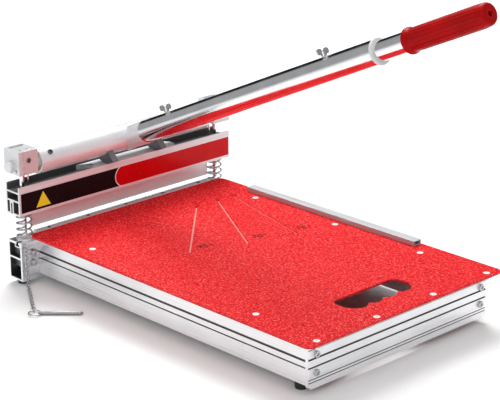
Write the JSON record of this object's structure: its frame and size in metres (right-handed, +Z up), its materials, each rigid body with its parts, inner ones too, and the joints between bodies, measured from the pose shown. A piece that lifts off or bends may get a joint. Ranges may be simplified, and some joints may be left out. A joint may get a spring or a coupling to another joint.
{
  "type": "guillotine plank cutter",
  "caption": "Bench guillotine for floor planks: aluminium bed with a red table and fence, spring-lifted blade carriage on guide rods, worked by a cam tube and a long telescopic handle.",
  "frame": {"origin": "on the floor, under the middle of the box round everything but the loose chain", "axes": "+X along the blade towards the fence side, +Y from the table's front edge towards the blade, +Z up"},
  "size_m": [0.4558, 0.6718, 0.4684],
  "materials": {
    "red_powder_coat": "pebbled red powder coat",
    "white_screw": "white painted screw heads",
    "aluminium_trim": "satin extruded aluminium",
    "aluminium_rail": "satin extruded aluminium with lengthwise lines",
    "aluminium_beam": "satin extruded aluminium",
    "steel_screw": "bright zinc-plated steel",
    "dark_screw": "dark oxide steel screws",
    "black_rubber": "matt black rubber",
    "anvil_aluminium": "bright milled aluminium",
    "chromed_rod": "bright polished steel",
    "plain_steel": "plain ground steel",
    "white_nylon": "white nylon",
    "spring_steel": "bright zinc-plated spring wire",
    "silver_block": "smooth silver paint on cast metal",
    "cover_plate": "smooth silver paint",
    "blade_steel": "ground steel",
    "bronze_bush": "bronze bush",
    "dark_panel": "glossy black film",
    "red_panel": "glossy red film",
    "satin_tube": "smooth silver paint on a steel tube",
    "cam_steel": "dark steel plate",
    "polished_tube": "bright chromed steel tube",
    "collar_plastic": "pale grey plastic",
    "dark_plastic": "black plastic",
    "red_grip": "red moulded grip",
    "chain_steel": "bright zinc-plated chain"
  },
  "bodies": {
    "frame": {"red_table": "red_powder_coat", "table_screws": "white_screw", "fence": "aluminium_trim", "fence_screws": "steel_screw", "side_rail_left": "aluminium_rail", "side_rail_right": "aluminium_rail", "end_rail": "aluminium_rail", "end_rail_screws": "steel_screw", "lower_beam": "aluminium_beam", "beam_bolts": "steel_screw", "rail_bolts": "dark_screw", "rubber_feet": "black_rubber", "foot_screws": "dark_screw", "anvil_bar": "anvil_aluminium", "anvil_screws": "steel_screw", "anvil_nuts": "steel_screw", "guide_rod_left": "chromed_rod", "guide_rod_right": "chromed_rod", "rod_anchors": "dark_screw", "lower_spring_seats": "white_nylon", "spring_left": "spring_steel", "spring_right": "spring_steel", "left_block": "silver_block", "right_block": "silver_block", "block_cover_plates": "cover_plate", "block_screws": "dark_screw", "side_rods": "chromed_rod", "left_axle": "plain_steel", "right_axle": "plain_steel", "spacer_sleeves": "white_nylon", "chain_eye": "steel_screw", "chain": "chain_steel", "pull_ring": "chain_steel", "lock_pin": "chromed_rod"},
    "carriage": {"upper_beam": "aluminium_beam", "blade": "blade_steel", "blade_screws": "dark_screw", "guide_bushes": "bronze_bush", "presser_bar": "plain_steel", "presser_screws": "steel_screw", "dark_label": "dark_panel", "red_label": "red_panel"},
    "lever": {"cam_tube": "satin_tube", "cams": "cam_steel", "tube_bushes": "bronze_bush", "tube_screws": "dark_screw", "outer_handle_tube": "polished_tube", "handle_collar": "collar_plastic"},
    "extension": {"inner_handle_tube": "polished_tube", "slide_guide": "dark_plastic", "grip": "red_grip", "grip_plug": "dark_plastic"},
    "clamp_wing": {"clamp_wing_screw": "steel_screw"},
    "extension_wing": {"extension_wing_screw": "steel_screw"}
  },
  "joints": [
    {"name": "lever_pivot", "type": "hinge", "parent": "frame", "child": "lever", "pos_m": [0.01, 0.31779, 0.171], "axis": [-1, 0, 0], "range_deg": [-31, 50]},
    {"name": "carriage_slide", "type": "slide", "parent": "frame", "child": "carriage", "axis": [0, 0, 1], "range_m": [-0.0056, 0.0091], "stiffness_N_per_m": 26600, "springref_m": 0.0142, "deforming": ["spring_left", "spring_right"]},
    {"name": "handle_slide", "type": "slide", "parent": "lever", "child": "extension", "axis": [0, -0.9135, 0.4067], "range_m": [-0.04, 0.15]},
    {"name": "clamp_wing_turn", "type": "hinge", "parent": "lever", "child": "clamp_wing", "pos_m": [0.01, 0.23061, 0.22492], "axis": [0, 0.4067, 0.9135], "continuous": true},
    {"name": "extension_wing_turn", "type": "hinge", "parent": "lever", "child": "extension_wing", "pos_m": [0.01, -0.07086, 0.35915], "axis": [0, 0.4067, 0.9135], "continuous": true}
  ],
  "couplings": [
    {"joint": "carriage_slide", "follows": "lever_pivot", "m_per_rad": 0.010313}
  ]
}
